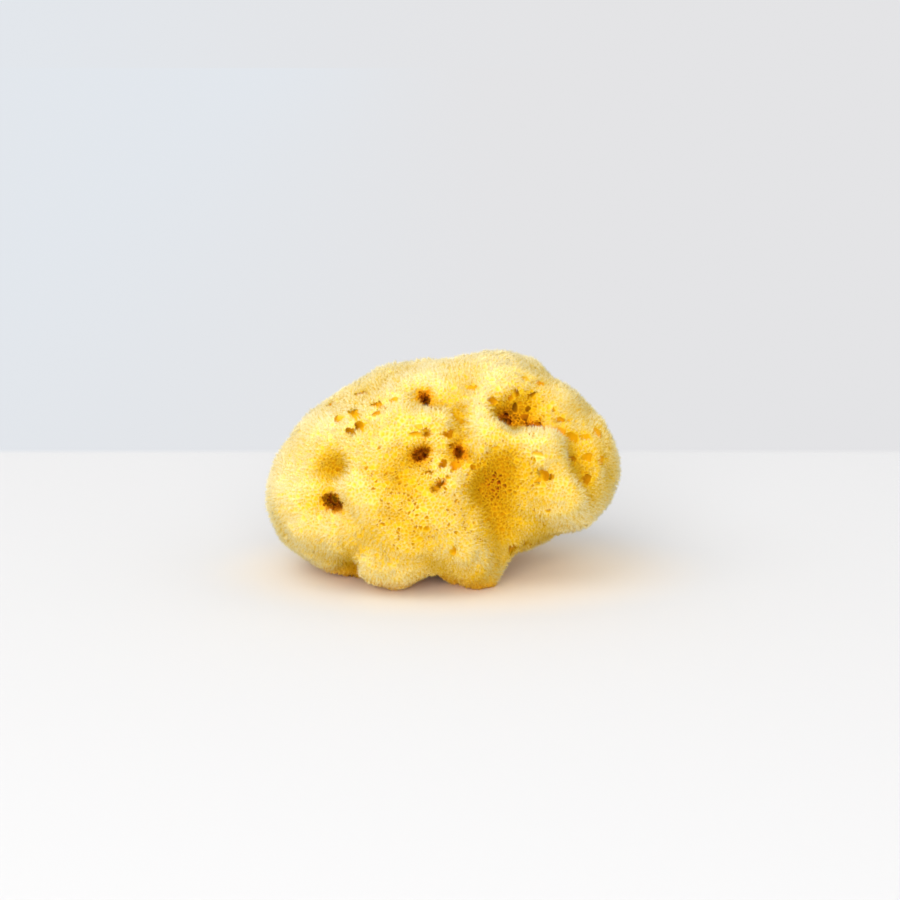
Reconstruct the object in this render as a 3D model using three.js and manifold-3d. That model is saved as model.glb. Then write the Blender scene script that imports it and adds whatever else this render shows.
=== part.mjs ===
// A natural bath sponge, dried and resting on a table: one grown piece with rounded lobes,
// valleys between them, deep outlets and clusters of smaller holes.
// Units are millimetres and +Z is up. The origin is at the middle of the sponge's box,
// on the table.
//
// The lobes were measured in one reference view, which looks along +Y and down at the table
// by VIEW_TILT. A place given as [right, up] is in that view: millimetres to the right of
// the heart of the sponge and above it, across the line of sight.

import * as THREE from 'three';
import { mergeVertices } from 'three/addons/utils/BufferGeometryUtils.js';
import Module from 'manifold-3d';

// The whole sponge
const LENGTH_HALF = 70; // from the heart to either end
const FRONT_DEPTH = 43; // from the heart to the face towards the viewer
const BACK_DEPTH = 47;
const FULLNESS = 2.25; // 2 is an ellipsoid, more is squarer
const HEART_HEIGHT = 41.2; // above the table
const SKIN_DETAIL = 14; // how often each edge of the starting icosahedron is cut
const SAME_POINT = 1e-4; // points nearer to each other than this are one

// The reference view
const VIEW_TILT = THREE.MathUtils.degToRad(14);
const EYE_DISTANCE = 850;
const EYE_AIM = [3.2, 8];

// The outline in the reference view, anticlockwise from the right-hand end
const OUTLINE = [
  [69.8, 3], [65.5, 15], [58.4, 25], [54, 30.2], [43.2, 37.2], [37.7, 43], [31.8, 46.6],
  [25.2, 47], [3, 45.2], [-16.2, 39.3], [-30.8, 33.6], [-41.6, 28.1], [-48.9, 23.5], [-57.5, 17],
  [-62, 9], [-67.3, -3], [-69, -12], [-66.5, -20], [-60.5, -29.5], [-49.6, -37.3],
  [-38, -41.8], [-27, -43], [-16, -45.2], [11, -45.2], [17, -43.2], [25, -37.5],
  [35, -30.5], [47.6, -23.8], [55.6, -21.3], [62.2, -16.9], [68.5, -6],
];
const OUTLINE_STEPS = 720; // of the smooth curve through them

// Lobes and hollows of the front, in the reference view: where, how far they reach each way,
// how they are turned in degrees, and by how much they stand out, or sink in if negative.
const FRONT_RELIEF = [
  { name: 'left lobe', at: [-46, -8], reach: [22, 20], out: 4 },
  { name: 'funnel of the left outlet', at: [-44, -13.5], reach: [9, 7], turn: -20, out: -8 },
  { name: 'hollow above the left outlet', at: [-44, 0.5], reach: [6, 7], out: -7 },
  { name: 'shoulder', at: [-13, 21], reach: [17, 11], turn: 10, out: 3.5 },
  { name: 'funnel of the top outlet', at: [-7, 29], reach: [7, 6], out: -7 },
  { name: 'groove beside the top outlet', at: [0, 26.5], reach: [4.5, 3], out: -3 },
  { name: 'funnel of the middle outlet', at: [-9, 6.5], reach: [7.5, 5.5], turn: 20, out: -5.5 },
  { name: 'valley in the middle', at: [8, 20], reach: [5, 15], out: -6 },
  { name: 'funnel at the foot of the valley', at: [7, 7.5], reach: [6, 6], out: -6 },
  { name: 'knob', at: [19.5, 13.5], reach: [7, 9], out: 6.5 },
  { name: 'belly', at: [-6, -18], reach: [22, 15], out: 4 },
  { name: 'dimple in the belly', at: [-16, -18.5], reach: [3.5, 4], out: -1.8 },
  { name: 'dell', at: [22.5, -7], reach: [11, 14], out: -13 },
  { name: 'foot of the dell', at: [25, -23], reach: [8, 9], out: -4 },
  { name: 'ridge, upper part', at: [35, 10.5], reach: [9.5, 8], turn: -28, out: 8 },
  { name: 'ridge, lower part', at: [48, -9], reach: [7, 15], turn: 18, out: 6.5 },
  { name: 'hollow above the ridge', at: [32, 23.5], reach: [10.5, 7], turn: -15, out: -14 },
  { name: 'valley behind the ridge', at: [53, 2], reach: [4.5, 14], turn: 22, out: -5.5 },
  { name: 'right lobe', at: [58, 8], reach: [9, 14], out: 2.5 },
  { name: 'front left foot', at: [-16.5, -38], reach: [8.5, 9], out: 6 },
  { name: 'toe of the left foot', at: [-27, -37.5], reach: [6, 6], out: 4.5 },
  { name: 'front right foot', at: [14.5, -39.5], reach: [8.5, 8], out: 5 },
  { name: 'hollow beside the left foot', at: [-37, -39.5], reach: [5.5, 5], turn: -30, out: -7 },
];

const FRONT_FADE = [-2, 14]; // they grow from nothing at the outline over this depth

// Lobes and hollows elsewhere, each a run from one direction to another: compass in degrees
// from +X towards +Y, and rise above the level of the heart.
const OTHER_RELIEF = [
  { name: 'arch under the front', from: [-100, -52], to: [90, -80], reach: 5.5, out: -8 },
  { name: 'hollow under the back', from: [120, -62], to: [150, -50], reach: 8, out: -6 },
  { name: 'hollow under the right end', from: [20, -50], to: [-20, -58], reach: 8, out: -4 },
  { name: 'back valley', from: [80, 62], to: [100, -5], reach: 7, out: -7 },
  { name: 'back side valley', from: [100, 0], to: [150, -20], reach: 6, out: -5 },
  { name: 'back left lobe', from: [135, 20], to: [150, 15], reach: 17, out: 5 },
  { name: 'back right lobe', from: [55, 5], to: [60, 15], reach: 14, out: 5 },
  { name: 'back foot', from: [75, -52], to: [80, -50], reach: 11, out: 5 },
  { name: 'back left foot', from: [160, -42], to: [165, -40], reach: 11, out: 4 },
  { name: 'back funnel', from: [118, 32], to: [118, 32], reach: 6, out: -5 },
  { name: 'back right funnel', from: [48, -8], to: [48, -8], reach: 6, out: -5 },
  { name: 'top dell', from: [70, 66], to: [20, 62], reach: 8, out: -5 },
  { name: 'top left knob', from: [150, 50], to: [170, 48], reach: 9, out: 3 },
  { name: 'left end dimple', from: [178, 12], to: [172, 20], reach: 7, out: -3.5 },
  { name: 'right end dimple', from: [12, -12], to: [2, -4], reach: 6, out: -3 },
];

// Slow unevenness over the whole skin: waves along a few slanting directions
const UNEVEN_HEIGHT = 0.35;
const UNEVEN_WAVES = [
  [0.16, 0.05, 0.11, 1.3], [-0.13, 0.18, 0.15, 4.1], [0.07, -0.17, 0.19, 2.2],
  [0.21, 0.05, -0.17, 5.7], [-0.1, -0.2, -0.12, 0.6],
];

// Deep outlets on the front: where, the two half widths of the mouth, its turn, and its depth
const FRONT_OUTLETS = [
  { name: 'left outlet', at: [-43, -13.5], mouth: [4.8, 3.4], turn: -25, depth: 16 },
  { name: 'top outlet', at: [-6.8, 28.6], mouth: [2.6, 3.4], turn: 15, depth: 13 },
  { name: 'middle outlet', at: [-8.6, 6.2], mouth: [3.8, 2.4], turn: 25, depth: 14 },
  { name: 'valley outlet', at: [6.6, 7.4], mouth: [2.2, 2.8], turn: 10, depth: 13 },
  { name: 'slanting slit', at: [-0.8, -5.4], mouth: [4.8, 1.7], turn: 38, depth: 5 },
  { name: 'fold behind the ridge', at: [38.4, 17.6], mouth: [7, 1.6], turn: -32, depth: 9 },
  { name: 'crack beside the knob', at: [25.2, 19.4], mouth: [1.3, 2.2], turn: 12, depth: 6 },
];

// Smaller holes on the front: right, up, and the two half widths of the mouth
const FRONT_HOLES = [
  [-31.4, 30.2, 3.4, 1], [-22, 38.4, 1.6, 0.9], [-18, 34.8, 1.3, 1.2],
  [-24.4, 25, 3, 1.5], [-25.2, 22, 2.5, 1], [-19.2, 27.6, 1.2, 1.2], [-34, 21.2, 2.7, 1.8],
  [-40.6, 20, 1.6, 1.8], [-32.6, 17.4, 2, 2.2], [-36, 15.2, 2.3, 1.4], [-44.6, 26, 2.6, 1],
  [-9.2, 17.6, 1.4, 0.9], [-10.8, 14, 2.2, 1], [-6, 14.6, 2.2, 1.5],
  [1.6, 14, 2.2, 1.6], [3.2, 8.8, 1.6, 1], [0, 2, 1.9, 1.9], [4.8, 1.2, 1.9, 1.9],
  [-4.8, -0.8, 2.2, 1.2], [12, 0.8, 1.4, 1],
  [12, 32.4, 1.8, 0.9], [20, 27, 1.3, 1.2],
  [21.2, 9.2, 1.3, 1.1], [35.8, 40, 2, 0.9], [33.2, 36.4, 1.4, 1],
  [39, 34.2, 1.8, 0.9], [29.4, 31.2, 1.4, 1.8], [35.4, 29.4, 2.2, 1.3],
  [46.2, 19.8, 2, 1.2], [50.2, 19.8, 1.3, 1], [46.6, 15.4, 2.2, 1.6], [51.6, 12.6, 2.9, 1.8],
  [56.6, 13, 1.9, 1.3], [61.6, 14.4, 1.6, 2], [58.4, 5.4, 2, 1.4], [63.4, 3.8, 2, 2],
  [51.6, 4.4, 1.8, 1.1], [38, 6.6, 1.9, 1.1],
  [40.2, -1, 1.6, 2.4], [43.6, -3, 1.5, 1.3],
  [56.8, -3.4, 1.4, 1.8], [32.8, -29, 2.2, 1.7], [36.8, -28.6, 1.7, 1.1], [27, -31.6, 1.4, 2.8],
  [4.4, -31.6, 1.1, 1.9],
];

// Clusters of holes elsewhere: the direction of the middle, the spread in degrees, how many
const HOLE_CLUSTERS = [
  { name: 'top', towards: [60, 68], spread: 20, count: 8 },
  { name: 'back left', towards: [128, 12], spread: 20, count: 10 },
  { name: 'back right', towards: [62, 25], spread: 17, count: 8 },
  { name: 'right end', towards: [8, 22], spread: 15, count: 5 },
  { name: 'back low', towards: [85, -28], spread: 16, count: 5 },
  { name: 'left end', towards: [165, 38], spread: 13, count: 4 },
  { name: 'underside', towards: [0, -52], spread: 16, count: 4 },
];
const OTHER_OUTLETS = [
  { name: 'back outlet', towards: [118, 32], mouth: [3.6, 3], depth: 15 },
  { name: 'back right outlet', towards: [48, -8], mouth: [3.2, 3.8], depth: 14 },
  { name: 'back valley outlet', towards: [98, -4], mouth: [3, 2.4], depth: 12 },
  { name: 'top outlet of the back', towards: [40, 66], mouth: [2.8, 3.2], depth: 13 },
  { name: 'left end outlet', towards: [176, 16], mouth: [2.6, 2.2], depth: 11 },
];
const HOLE_DEPTH = 1.5; // of a smaller hole, in half widths
const HOLE_DEPTH_UP_TO = 2.4; // a wider hole of the front is no deeper than one of this half width
const HOLE_TURN = 30; // the range of turns of the front's holes, in degrees

// How a cluster's holes differ: each half width from a least one up by a range, the share of
// the spread at which the first one lies, and how far round the others stray, in radians
const CLUSTER_MOUTH = { least: [1.2, 1], range: [1.5, 1.1] };
const CLUSTER_FIRST = 0.4;
const CLUSTER_STRAY = 0.9;
const CLUSTER_STEEPEST = 60; // degrees of rise up to which the spread is kept round
const CLUSTER_SEED_STEP = 40;

// The form of an outlet and of a smaller hole, from the bottom up to the mouth: how wide in
// half widths of the mouth, and how far down as a share of the depth
const OUTLET_FORM = { sides: 10, steps: [[0, 1], [0.82, 0.55], [1, 0]] };
const HOLE_FORM = { sides: 6, steps: [[0, 1], [0.7, 0.8]] };
const FORM_TOP = { flare: 1.3, clear: 3 }; // it widens out to clear the skin by this much

// The reference view's own directions, and places in it as points in the sponge's frame
const RIGHT = new THREE.Vector3(1, 0, 0);
const UP = new THREE.Vector3(0, Math.sin(VIEW_TILT), Math.cos(VIEW_TILT));
const AHEAD = new THREE.Vector3(0, Math.cos(VIEW_TILT), -Math.sin(VIEW_TILT));
const HEART = new THREE.Vector3(0, 0, HEART_HEIGHT);
const inView = (right, up, ahead) => HEART.clone()
  .addScaledVector(RIGHT, right).addScaledVector(UP, up).addScaledVector(AHEAD, ahead);

// How far the outline is from the heart, by the angle round the heart
const outlineReach = (() => {
  const points = OUTLINE.map(([right, up]) => new THREE.Vector3(right, up, 0));
  const round = new THREE.CatmullRomCurve3(points, true).getPoints(OUTLINE_STEPS)
    .map((p) => ({ angle: Math.atan2(p.y, p.x), reach: Math.hypot(p.x, p.y) }))
    .sort((a, b) => a.angle - b.angle);
  return (angle) => {
    let next = round.findIndex((p) => p.angle > angle);
    if (next < 0) next = 0;
    const before = round[(next + round.length - 1) % round.length];
    const gap = (round[next].angle - before.angle + 2 * Math.PI) % (2 * Math.PI);
    const share = ((angle - before.angle + 2 * Math.PI) % (2 * Math.PI)) / (gap || 1);
    return THREE.MathUtils.lerp(before.reach, round[next].reach, Math.min(share, 1));
  };
})();

// A unit direction from compass and rise, in degrees
function towards([compass, rise]) {
  const c = THREE.MathUtils.degToRad(compass);
  const r = THREE.MathUtils.degToRad(rise);
  return new THREE.Vector3(Math.cos(c) * Math.cos(r), Math.sin(c) * Math.cos(r), Math.sin(r));
}

// The plain body before any relief: its distance from the heart along a direction
function plainReach(direction) {
  const right = direction.dot(RIGHT);
  const up = direction.dot(UP);
  const ahead = direction.dot(AHEAD);
  const across = Math.hypot(right, up) / outlineReach(Math.atan2(up, right));
  const along = Math.abs(ahead) / (ahead < 0 ? FRONT_DEPTH : BACK_DEPTH);
  return (across ** FULLNESS + along ** FULLNESS) ** (-1 / FULLNESS);
}

// Where a point is in the reference view, as seen from the eye
function asSeen(point) {
  const from = point.clone().sub(HEART);
  const scale = EYE_DISTANCE / (EYE_DISTANCE + from.dot(AHEAD));
  return [
    EYE_AIM[0] + (from.dot(RIGHT) - EYE_AIM[0]) * scale,
    EYE_AIM[1] + (from.dot(UP) - EYE_AIM[1]) * scale,
  ];
}

// A bell of height 1 that is at about a third of that one reach from its middle
const bell = (distance) => Math.exp(-distance * distance);

function frontRelief(point) {
  const ahead = point.clone().sub(HEART).dot(AHEAD);
  const facing = THREE.MathUtils.smoothstep(-ahead, ...FRONT_FADE);
  if (!facing) return 0;
  const [right, up] = asSeen(point);
  let out = 0;
  for (const lobe of FRONT_RELIEF) {
    const turn = THREE.MathUtils.degToRad(lobe.turn || 0);
    const x = right - lobe.at[0];
    const y = up - lobe.at[1];
    const along = (x * Math.cos(turn) + y * Math.sin(turn)) / lobe.reach[0];
    const across = (y * Math.cos(turn) - x * Math.sin(turn)) / lobe.reach[1];
    out += lobe.out * bell(Math.hypot(along, across));
  }
  return out * facing;
}

function otherRelief(point) {
  let out = 0;
  for (const lobe of OTHER_RELIEF) {
    const ends = [lobe.from, lobe.to].map((way) => {
      const direction = towards(way);
      return HEART.clone().addScaledVector(direction, plainReach(direction));
    });
    const nearest = new THREE.Line3(...ends)
      .closestPointToPoint(point, true, new THREE.Vector3());
    // A run bends with the skin, so its depth under the chord doesn't count
    const away = point.clone().sub(nearest);
    const direction = point.clone().sub(HEART).normalize();
    away.addScaledVector(direction, -away.dot(direction));
    if (nearest.sub(HEART).dot(direction) > 0) out += lobe.out * bell(away.length() / lobe.reach);
  }
  return out;
}

function unevenness(point) {
  const waves = UNEVEN_WAVES.map(([x, y, z, phase]) => (
    Math.sin(x * point.x + y * point.y + z * point.z + phase)
  ));
  return UNEVEN_HEIGHT * waves.reduce((a, b) => a + b, 0);
}

// The skin: an icosphere whose points are drawn out to the lobes and pressed onto the table
function skin() {
  const ball = new THREE.IcosahedronGeometry(1, SKIN_DETAIL);
  ball.deleteAttribute('normal');
  ball.deleteAttribute('uv');
  const geometry = mergeVertices(ball, SAME_POINT);
  const place = geometry.attributes.position;
  const halves = new THREE.Vector3(LENGTH_HALF, FRONT_DEPTH, HEART_HEIGHT);
  const point = new THREE.Vector3();
  for (let i = 0; i < place.count; i += 1) {
    const direction = point.fromBufferAttribute(place, i).multiply(halves).normalize().clone();
    const plain = HEART.clone().addScaledVector(direction, plainReach(direction));
    const out = frontRelief(plain) + otherRelief(plain) + unevenness(plain);
    plain.addScaledVector(direction, out);
    place.setXYZ(i, plain.x, plain.y, Math.max(plain.z, 0));
  }
  return geometry;
}

// A plug to cut a hole with, its mouth at the origin and its way in along -Z
function plug([half, otherHalf], depth, form) {
  const profile = form.steps.map(([width, down]) => new THREE.Vector2(width, -down * depth));
  profile.push(new THREE.Vector2(FORM_TOP.flare, FORM_TOP.clear));
  profile.push(new THREE.Vector2(0, FORM_TOP.clear));
  const lathe = new THREE.LatheGeometry(profile, form.sides);
  lathe.deleteAttribute('normal');
  lathe.deleteAttribute('uv');
  lathe.rotateX(Math.PI / 2);
  return lathe.scale(half, otherHalf, 1);
}

// A plug set at a place on the skin: its way in, and its turn about that
function setPlug(cut, place, inward, turn) {
  const out = inward.clone().negate();
  const level = Math.abs(out.x) < 0.9 ? RIGHT : UP;
  const across = level.clone().addScaledVector(out, -level.dot(out)).normalize();
  const upward = new THREE.Vector3().crossVectors(out, across);
  cut.rotateZ(THREE.MathUtils.degToRad(turn));
  cut.applyMatrix4(new THREE.Matrix4().makeBasis(across, upward, out));
  return cut.translate(place.x, place.y, place.z);
}

const wasm = await Module();
wasm.setup();
function solid(geometry) {
  const merged = mergeVertices(geometry, SAME_POINT);
  return new wasm.Manifold(new wasm.Mesh({
    numProp: 3,
    vertProperties: new Float32Array(merged.attributes.position.array),
    triVerts: new Uint32Array(merged.index.array),
  }));
}

// A repeatable number from 0 to 1 for each whole number
const chance = (n) => {
  const x = Math.sin(n * 127.1 + 11.7) * 43758.5453;
  return x - Math.floor(x);
};
const GOLDEN_ANGLE = Math.PI * (3 - Math.sqrt(5));

function holes(skinMesh) {
  const caster = new THREE.Raycaster();
  const hit = (from, way) => {
    caster.set(from, way);
    return caster.intersectObject(skinMesh)[0];
  };
  const eye = inView(...EYE_AIM, -EYE_DISTANCE);
  const cuts = [];
  const cutFront = ([right, up], mouth, turn, depth, form) => {
    const way = inView(right, up, 0).sub(eye).normalize();
    const met = hit(eye, way);
    if (!met) return;
    const inward = HEART.clone().sub(met.point).normalize().add(way).normalize();
    cuts.push(setPlug(plug(mouth, depth, form), met.point, inward, turn));
  };
  const cutElsewhere = (direction, mouth, turn, depth, form) => {
    const far = HEART.clone().addScaledVector(direction, 3 * LENGTH_HALF);
    const inward = direction.clone().negate();
    const met = hit(far, inward);
    cuts.push(setPlug(plug(mouth, depth, form), met.point, inward, turn));
  };
  for (const { at, mouth, turn, depth } of FRONT_OUTLETS) {
    cutFront(at, mouth, turn, depth, OUTLET_FORM);
  }
  FRONT_HOLES.forEach(([right, up, half, otherHalf], i) => {
    const depth = HOLE_DEPTH * Math.min(Math.max(half, otherHalf), HOLE_DEPTH_UP_TO);
    cutFront([right, up], [half, otherHalf], HOLE_TURN * (chance(i) - 0.5), depth, HOLE_FORM);
  });
  for (const { towards: way, mouth, depth } of OTHER_OUTLETS) {
    cutElsewhere(towards(way), mouth, 0, depth, OUTLET_FORM);
  }
  HOLE_CLUSTERS.forEach((cluster, c) => {
    for (let i = 0; i < cluster.count; i += 1) {
      const seed = CLUSTER_SEED_STEP * (c + 1) + i;
      const away = cluster.spread * Math.sqrt((i + CLUSTER_FIRST) / cluster.count);
      const round = i * GOLDEN_ANGLE + CLUSTER_STRAY * chance(seed);
      const [compass, rise] = cluster.towards;
      const steepness = THREE.MathUtils.degToRad(Math.min(rise, CLUSTER_STEEPEST));
      const way = towards([
        compass + away * Math.cos(round) / Math.cos(steepness),
        rise + away * Math.sin(round),
      ]);
      const { least, range } = CLUSTER_MOUTH;
      const mouth = [
        least[0] + range[0] * chance(seed + 0.5),
        least[1] + range[1] * chance(seed + 0.25),
      ];
      cutElsewhere(way, mouth, 360 * chance(seed + 0.75), HOLE_DEPTH * mouth[0], HOLE_FORM);
    }
  });
  return cuts;
}

function sponge() {
  const skinGeometry = skin();
  const skinMesh = new THREE.Mesh(skinGeometry, new THREE.MeshBasicMaterial());
  let body = solid(skinGeometry);
  for (const cut of holes(skinMesh)) body = body.subtract(solid(cut));
  const { numProp, vertProperties, triVerts } = body.getMesh();
  const places = new Float32Array((vertProperties.length / numProp) * 3);
  for (let i = 0; i < places.length / 3; i += 1) {
    places.set(vertProperties.subarray(i * numProp, i * numProp + 3), i * 3);
  }
  const geometry = new THREE.BufferGeometry()
    .setAttribute('position', new THREE.BufferAttribute(places, 3))
    .setIndex(new THREE.BufferAttribute(triVerts, 1));
  // The origin is at the middle of the box, on the table
  geometry.computeBoundingBox();
  const middle = geometry.boundingBox.getCenter(new THREE.Vector3());
  geometry.translate(-middle.x, -middle.y, 0);
  const mesh = new THREE.Mesh(geometry, new THREE.MeshStandardMaterial({
    color: 0xe8c34a, roughness: 0.95, metalness: 0,
  }));
  mesh.name = 'sponge';
  return mesh;
}

const part = new THREE.Group();
part.add(sponge());
export default part;
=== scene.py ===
# %% [markdown]
# # A sea sponge
# This lesson takes a plain solid of a natural bath sponge and gives it its real skin: thousands of
# small pores, the soft points of fibre that stand between them, and the fringe that they make
# against the light. The solid comes from a CAD program and is the fixed frame: nothing here
# moves it or resizes it. Everything is in metres.

import heapq
import math

import bpy
import numpy as np
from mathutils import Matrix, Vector
from mathutils.bvhtree import BVHTree


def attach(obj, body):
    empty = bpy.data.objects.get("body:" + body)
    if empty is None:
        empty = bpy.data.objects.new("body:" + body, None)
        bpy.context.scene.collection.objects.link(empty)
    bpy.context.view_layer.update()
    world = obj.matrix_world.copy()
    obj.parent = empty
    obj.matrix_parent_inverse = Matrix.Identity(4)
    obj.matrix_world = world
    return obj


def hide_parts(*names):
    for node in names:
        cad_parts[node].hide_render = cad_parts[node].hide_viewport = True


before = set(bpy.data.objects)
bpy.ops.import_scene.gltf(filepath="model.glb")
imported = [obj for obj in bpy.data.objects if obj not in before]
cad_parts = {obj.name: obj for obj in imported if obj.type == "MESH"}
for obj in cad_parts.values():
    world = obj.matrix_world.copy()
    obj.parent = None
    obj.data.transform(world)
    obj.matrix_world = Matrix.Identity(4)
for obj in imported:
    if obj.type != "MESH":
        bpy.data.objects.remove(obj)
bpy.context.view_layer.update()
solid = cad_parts["sponge"]
scene = bpy.context.scene
MM = 0.001

# %% [markdown]
# ## The camera
# The picture was taken with a longish lens from a little above the table. The heart of the
# sponge is the point that the solid was drawn round, and the camera aims a little up and to
# the right of it. It comes first, so that every later step can be looked at.

# %% Camera
HEART = Vector((-0.62, -0.74, 41.2)) * MM
CAMERA_TILT = math.radians(14)
CAMERA_DISTANCE = 850 * MM
CAMERA_AIM_RIGHT = 3.2 * MM
CAMERA_AIM_UP = 8 * MM
LENS = 85
SENSOR_WIDTH = 36
NEAREST_SEEN = 10 * MM

view_right = Vector((1, 0, 0))
view_up = Vector((0, math.sin(CAMERA_TILT), math.cos(CAMERA_TILT)))
view_ahead = Vector((0, math.cos(CAMERA_TILT), -math.sin(CAMERA_TILT)))
lens = bpy.data.cameras.new("camera")
lens.lens = LENS
lens.sensor_width = SENSOR_WIDTH
lens.clip_start = NEAREST_SEEN
camera = bpy.data.objects.new("camera", lens)
camera.location = HEART + view_up * CAMERA_AIM_UP - view_ahead * CAMERA_DISTANCE
camera.location.x += CAMERA_AIM_RIGHT
camera.rotation_euler = (math.pi / 2 - CAMERA_TILT, 0, 0)
scene.collection.objects.link(camera)
scene.camera = camera
print("camera at", [round(v / MM) for v in camera.location], "mm")

# %% [markdown]
# ## An even net over the solid
# The solid has large flat triangles. A voxel remesh turns a copy of it into an even net of
# small squares, fine enough to place every pore on. Its points, squares and edges are read
# into arrays, because loops over a quarter of a million points would be slow. The net is
# only a guide: it is never shown.

# %% Dense net
NET_SIZE = 0.5 * MM

guide = bpy.data.objects.new("guide", solid.data.copy())
scene.collection.objects.link(guide)
voxels = guide.modifiers.new("voxels", "REMESH")
voxels.mode = "VOXEL"
voxels.voxel_size = NET_SIZE
net = bpy.data.meshes.new_from_object(guide.evaluated_get(bpy.context.evaluated_depsgraph_get()))
bpy.data.objects.remove(guide)


def read(items, name, kind, width):
    """One value, or a few, of every point, corner or edge of a mesh."""
    found = np.empty(len(items) * width, kind)
    items.foreach_get(name, found)
    return found.reshape(-1, width)


net_points = read(net.vertices, "co", np.float64, 3)
net_quads = read(net.loops, "vertex_index", np.int64, 1).reshape(-1, 4)
net_edges = read(net.edges, "vertices", np.int64, 2)
print("net", len(net_points), "points", len(net_quads), "squares")

# %% [markdown]
# A little smoothing takes off the corners of the big triangles. A grown thing is never quite
# even, so two slow random fields add low bumps. Everything that looks random here comes from
# one seeded source, and so the sponge is the same each time.

# %% Smooth and bumpy
NET_SMOOTHING = 8
BROAD_SMOOTHING = 60
BUMPS = [
    # smoothing steps, height of the bumps
    (220, 0.32 * MM),
    (40, 0.17 * MM),
]
SEED = 7
rng = np.random.default_rng(SEED)


def spread(values, edges, steps, share=0.5):
    """Each point's value drawn towards the mean of its neighbours'."""
    count = np.maximum(np.bincount(edges.ravel(), minlength=len(values)), 1)[:, None]
    for _ in range(steps):
        near = np.zeros_like(values)
        for k in range(values.shape[1]):
            near[:, k] += np.bincount(edges[:, 0], values[edges[:, 1], k], len(values))
            near[:, k] += np.bincount(edges[:, 1], values[edges[:, 0], k], len(values))
        values = values + share * (near / count - values)
    return values


def unit(vectors):
    """The same directions, each of length 1."""
    return vectors / np.maximum(np.linalg.norm(vectors, axis=1), 1e-12)[:, None]


def normals_of(points, quads):
    """The outward direction at each point, from the squares around it."""
    a, b, c, d = (points[quads[:, k]] for k in range(4))
    face = np.cross(c - a, d - b)
    found = np.zeros_like(points)
    for k in range(4):
        for axis in range(3):
            found[:, axis] += np.bincount(quads[:, k], face[:, axis], len(points))
    return unit(found)


def smooth_noise(width, steps):
    """A random value at each point of the net, even over a few of its squares."""
    found = spread(rng.normal(size=(len(net_points), width)), net_edges, steps)
    return found / found.std(axis=0)


net_points = spread(net_points, net_edges, NET_SMOOTHING)
net_normals = normals_of(net_points, net_quads)
for steps, height in BUMPS:
    net_points += net_normals * smooth_noise(1, steps) * height
net_points[:, 2] = np.maximum(net_points[:, 2], 0)
net_normals = normals_of(net_points, net_quads)
broad_normals = unit(spread(net_normals, net_edges, BROAD_SMOOTHING))
print("net from", (net_points.min(axis=0) / MM).round(1), "to", (net_points.max(axis=0) / MM).round(1))

# %% [markdown]
# ## Places on the front
# Some patches of this sponge differ from the rest. In bare places the tufts are worn short
# and the pores show, in shaded places painted shade makes the colour deeper than their shape
# alone makes it, and in soft places a crease that is too sharp in the solid is smoothed out.
# Each place is given as it is seen from the camera: how far to the right of the heart and how
# far above it, and how far it reaches each way. It fades out like a bell, and counts only on
# the side that faces the camera.

# %% Places on the front
BARE_PLACES = [
    # right, up, reach right, reach up, how bare, all but the last in millimetres
    (21, -5, 11, 15, 1.0),
    (12, -20, 12, 9, 0.5),
    (-14, -4, 14, 9, 0.6),
    (-12, -20, 12, 9, 0.45),
    (34, -22, 8, 7, 0.5),
    (31, 22, 11, 6, 0.5),
]
PAINTED_SHADE_PLACES = [
    # the same, with how much painted shade
    (57, 8, 11, 14, 0.75),
    (33, 24, 13, 9, 0.4),
    (14, -42, 12, 6, 0.9),
    (-13, 18, 18, 12, 0.35),
    (-10, -12, 16, 14, 0.25),
    (18, 13, 7, 9, 0.2),
    (-44, 1, 8, 8, 0.7),
    (-44, -13, 10, 7, 0.5),
    (21, -5, 9, 13, 0.3),
]
SOFT_PLACES = [
    # the same, with how far a sharp crease is smoothed out
    (51, 8, 9, 17, 1.0),
]
SOFT_SMOOTHING = 260
FACING_SHARPNESS = 3


def seen_at(points):
    """Right, up and depth of points in the camera's frame, from the heart."""
    away = points - np.array(HEART)
    return away @ np.array(view_right), away @ np.array(view_up), away @ np.array(view_ahead)


def place_strength(points, normals, places):
    """How strongly the places act at each point."""
    right, up, _ = seen_at(points)
    facing = np.clip(-(normals @ np.array(view_ahead)) * FACING_SHARPNESS, 0, 1)
    found = np.zeros(len(points))
    for at_right, at_up, reach_right, reach_up, strength in places:
        off = ((right / MM - at_right) / reach_right) ** 2 + ((up / MM - at_up) / reach_up) ** 2
        found = np.maximum(found, strength * np.exp(-off) * facing)
    return found


softness = place_strength(net_points, broad_normals, SOFT_PLACES)[:, None]
net_points += softness * (spread(net_points, net_edges, SOFT_SMOOTHING) - net_points)
net_normals = normals_of(net_points, net_quads)
print("points at least half softened", (softness > 0.5).sum())
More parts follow.
